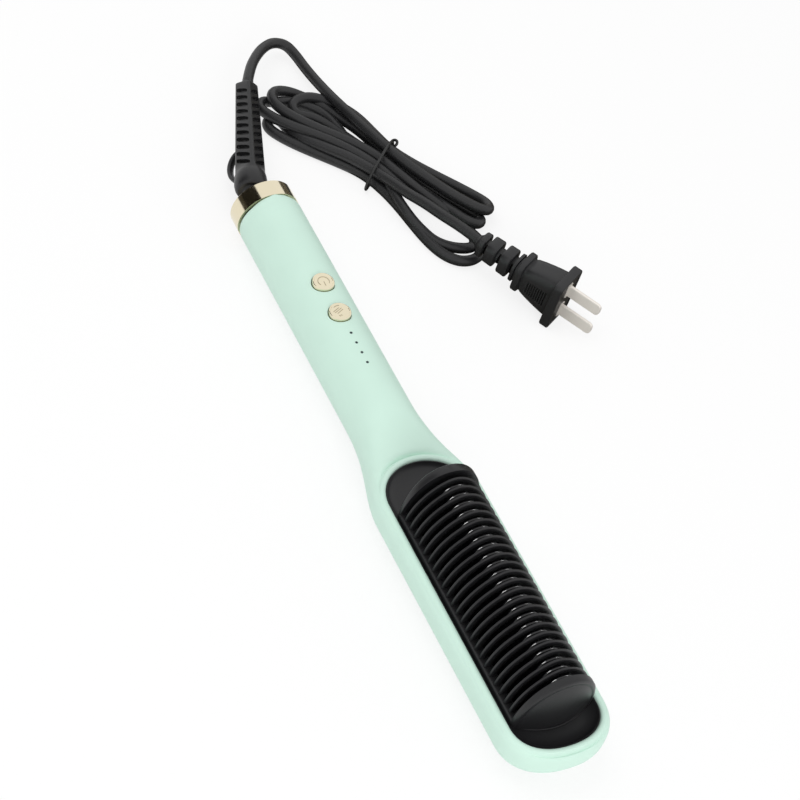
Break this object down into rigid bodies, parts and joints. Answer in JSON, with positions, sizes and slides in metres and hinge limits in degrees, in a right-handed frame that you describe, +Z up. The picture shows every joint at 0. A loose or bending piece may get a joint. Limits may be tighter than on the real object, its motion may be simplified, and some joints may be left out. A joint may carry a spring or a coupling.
{
  "type": "hot comb",
  "caption": "Electric hot comb: round handle widening to a flat-bottomed head, arched rib guard over a heated comb, two buttons, swivelling mains cord with plug.",
  "frame": {"origin": "centre of the comb's footprint without its cord, on the surface that it stands on", "axes": "+X along the handle towards the tip of the head, +Y across it, +Z up, the way the comb faces"},
  "size_m": [0.4015, 0.1449, 0.0453],
  "materials": {
    "mint_plastic": "satin",
    "gold_metal": "polished pale gold",
    "black_plastic": "fine matt",
    "heated_coating": "glossy ceramic coat",
    "rubber_black": "satin",
    "pin_metal": "nickel plated",
    "steel": "satin",
    "copper_alloy": "satin",
    "aluminium_foil": "satin",
    "board_green": "satin",
    "clear_plastic": "clear",
    "white_ceramic": "matt",
    "grey_plastic": "matt",
    "wire_red": "satin",
    "paper_tie": "satin"
  },
  "bodies": {
    "root": {"upper_casing": "mint_plastic", "lower_casing": "mint_plastic", "end_cap": "gold_metal", "casing_screws": "steel", "comb_tray": "black_plastic", "comb_guard": "black_plastic", "heating_comb": "heated_coating", "electrode_strips": "aluminium_foil", "ptc_heaters": "white_ceramic", "heater_holder": "grey_plastic", "heater_screws": "steel", "temperature_sensor": "grey_plastic", "thermal_fuse": "steel", "control_board": "board_green", "board_screws": "steel", "film_capacitor": "grey_plastic", "triac": "black_plastic", "control_chip": "black_plastic", "switch_housings": "black_plastic", "indicator_leds": "white_ceramic", "light_pipe": "clear_plastic", "brush_plate": "grey_plastic", "brush_springs": "copper_alloy", "brush_leads": "wire_red", "heater_leads": "wire_red", "sensor_leads": "grey_plastic"},
    "swivel": {"swivel_stem": "black_plastic", "slip_rings": "copper_alloy", "swivel_leads": "wire_red"},
    "cord": {"cord_guard": "rubber_black", "guard_core": "rubber_black", "cord_lead": "rubber_black", "cord_hank": "rubber_black", "hank_tie": "paper_tie", "cord_tail": "rubber_black", "plug_body": "rubber_black", "plug_pins": "pin_metal"},
    "power_button": {"power_button": "gold_metal", "power_plunger": "grey_plastic"},
    "heat_button": {"heat_button": "gold_metal", "heat_plunger": "grey_plastic"}
  },
  "joints": [
    {"name": "cord_swivel", "type": "hinge", "parent": "root", "child": "swivel", "pos_m": [-0.14135, 0, 0.0145], "axis": [1, 0, 0], "continuous": true},
    {"name": "cord_tilt", "type": "hinge", "parent": "swivel", "child": "cord", "pos_m": [-0.15235, 0, 0.0145], "axis": [0, 0, 1], "range_deg": [-2, 46]},
    {"name": "power_press", "type": "slide", "parent": "root", "child": "power_button", "axis": [0, 0, -1], "range_m": [0, 0.0006], "stiffness_N_per_m": 2500, "springref_m": -0.0002},
    {"name": "heat_press", "type": "slide", "parent": "root", "child": "heat_button", "axis": [0, 0, -1], "range_m": [0, 0.0006], "stiffness_N_per_m": 2500, "springref_m": -0.0002}
  ]
}
